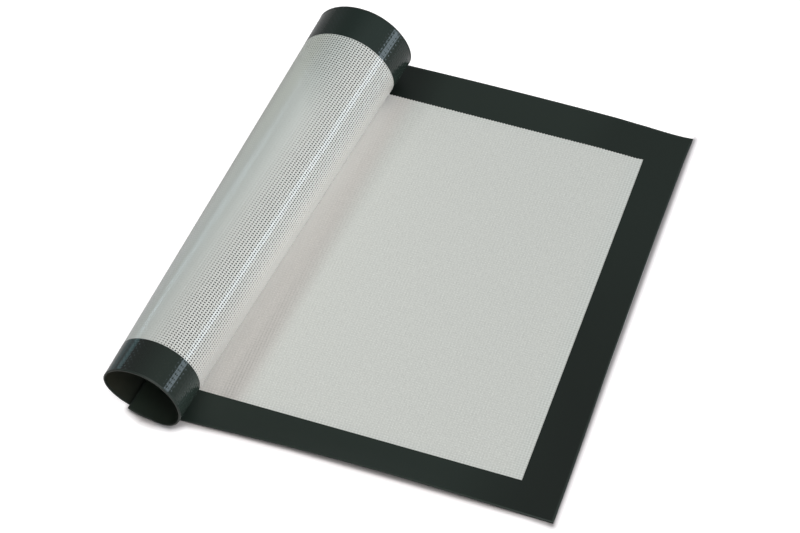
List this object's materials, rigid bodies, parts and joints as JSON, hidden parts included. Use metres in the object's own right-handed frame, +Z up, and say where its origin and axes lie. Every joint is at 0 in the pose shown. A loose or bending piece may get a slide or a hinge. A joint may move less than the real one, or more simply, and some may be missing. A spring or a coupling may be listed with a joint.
{
  "type": "silicone baking mat",
  "caption": "Thin rectangular non-stick baking sheet of woven glass cloth between silicone coats, with a dark border, lying flat with one end loosely rolled up.",
  "frame": {"origin": "middle of the footprint, on the surface that the mat lies on", "axes": "+Z up, +Y along the roll from its tight end to its loose end, +X across the mat from the roll towards the flat end"},
  "size_m": [0.2681, 0.3, 0.0563],
  "materials": {
    "field_silicone": "satin",
    "border_silicone": "satin",
    "cloth": "woven"
  },
  "bodies": {
    "root": {"glass_cloth": "cloth", "lower_silicone_coat": "field_silicone", "upper_silicone_coat": "field_silicone", "lower_border": "border_silicone", "upper_border": "border_silicone", "edge_seal": "border_silicone"}
  },
  "joints": []
}
